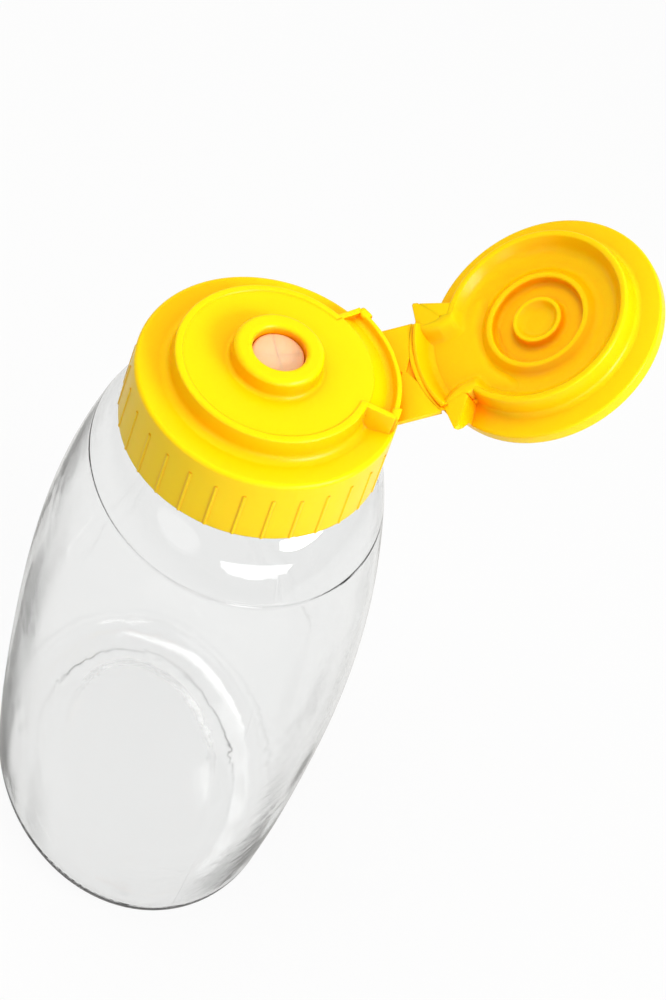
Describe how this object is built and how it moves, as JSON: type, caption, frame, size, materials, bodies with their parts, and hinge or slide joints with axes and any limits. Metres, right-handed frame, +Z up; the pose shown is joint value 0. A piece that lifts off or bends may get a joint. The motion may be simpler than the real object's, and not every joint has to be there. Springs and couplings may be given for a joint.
{
  "type": "squeeze bottle",
  "caption": "Clear oval squeeze bottle for sauce with a screw-on yellow flip-top closure, a slit valve in its spout and a lid on a folding strap, stored open.",
  "frame": {"origin": "centre of the standing ring under the bottle, on the plane it stands on", "axes": "+Z up along the bottle's neck, +Y from the neck towards the lid's hinge, +X along the hinge line and across the wide side of the oval body"},
  "size_m": [0.086, 0.1046, 0.1784],
  "materials": {
    "clear_pet": "clear, polished",
    "foam_liner": "soft foam sheet",
    "yellow_pp": "semi-gloss moulding",
    "silicone": "translucent, satin",
    "natural_pp": "satin moulding"
  },
  "bodies": {
    "bottle": {"bottle": "clear_pet"},
    "liner": {"sealing_liner": "foam_liner"},
    "closure": {"cap_base": "yellow_pp", "slit_valve": "silicone", "valve_retainer": "natural_pp"},
    "strap": {"hinge_strap": "yellow_pp"},
    "lid": {"flip_lid": "yellow_pp"},
    "petal_1": {"valve_petal_1": "silicone"},
    "petal_2": {"valve_petal_2": "silicone"},
    "petal_3": {"valve_petal_3": "silicone"},
    "petal_4": {"valve_petal_4": "silicone"}
  },
  "joints": [
    {"name": "cap_rise", "type": "slide", "parent": "bottle", "child": "liner", "axis": [0, 0, 1], "range_m": [0, 0.00634]},
    {"name": "cap_twist", "type": "hinge", "parent": "liner", "child": "closure", "pos_m": [0, 0, 0.1476], "axis": [0, 0, 1], "range_deg": [0, 540]},
    {"name": "lid_swing", "type": "hinge", "parent": "closure", "child": "lid", "pos_m": [0, 0.02577, 0.1516], "axis": [1, 0, 0], "range_deg": [0, 138]},
    {"name": "strap_fold", "type": "hinge", "parent": "closure", "child": "strap", "pos_m": [0, 0.0244, 0.1496], "axis": [1, 0, 0], "range_deg": [0, 69]},
    {"name": "petal_1_flex", "type": "hinge", "parent": "closure", "child": "petal_1", "pos_m": [0.0017, 0.0017, 0.1561], "axis": [-0.7071, 0.7071, 0], "range_deg": [0, 50], "stiffness_Nm_per_rad": 0.000002},
    {"name": "petal_2_flex", "type": "hinge", "parent": "closure", "child": "petal_2", "pos_m": [-0.0017, 0.0017, 0.1561], "axis": [-0.7071, -0.7071, 0], "range_deg": [0, 50], "stiffness_Nm_per_rad": 0.000002},
    {"name": "petal_3_flex", "type": "hinge", "parent": "closure", "child": "petal_3", "pos_m": [-0.0017, -0.0017, 0.1561], "axis": [0.7071, -0.7071, 0], "range_deg": [0, 50], "stiffness_Nm_per_rad": 0.000002},
    {"name": "petal_4_flex", "type": "hinge", "parent": "closure", "child": "petal_4", "pos_m": [0.0017, -0.0017, 0.1561], "axis": [0.7071, 0.7071, 0], "range_deg": [0, 50], "stiffness_Nm_per_rad": 0.000002}
  ],
  "couplings": [
    {"joint": "cap_twist", "follows": "cap_rise", "rad_per_m": 1484.3},
    {"joint": "strap_fold", "follows": "lid_swing", "ratio": 0.5},
    {"joint": "petal_2_flex", "follows": "petal_1_flex", "ratio": 1},
    {"joint": "petal_3_flex", "follows": "petal_1_flex", "ratio": 1},
    {"joint": "petal_4_flex", "follows": "petal_1_flex", "ratio": 1}
  ]
}
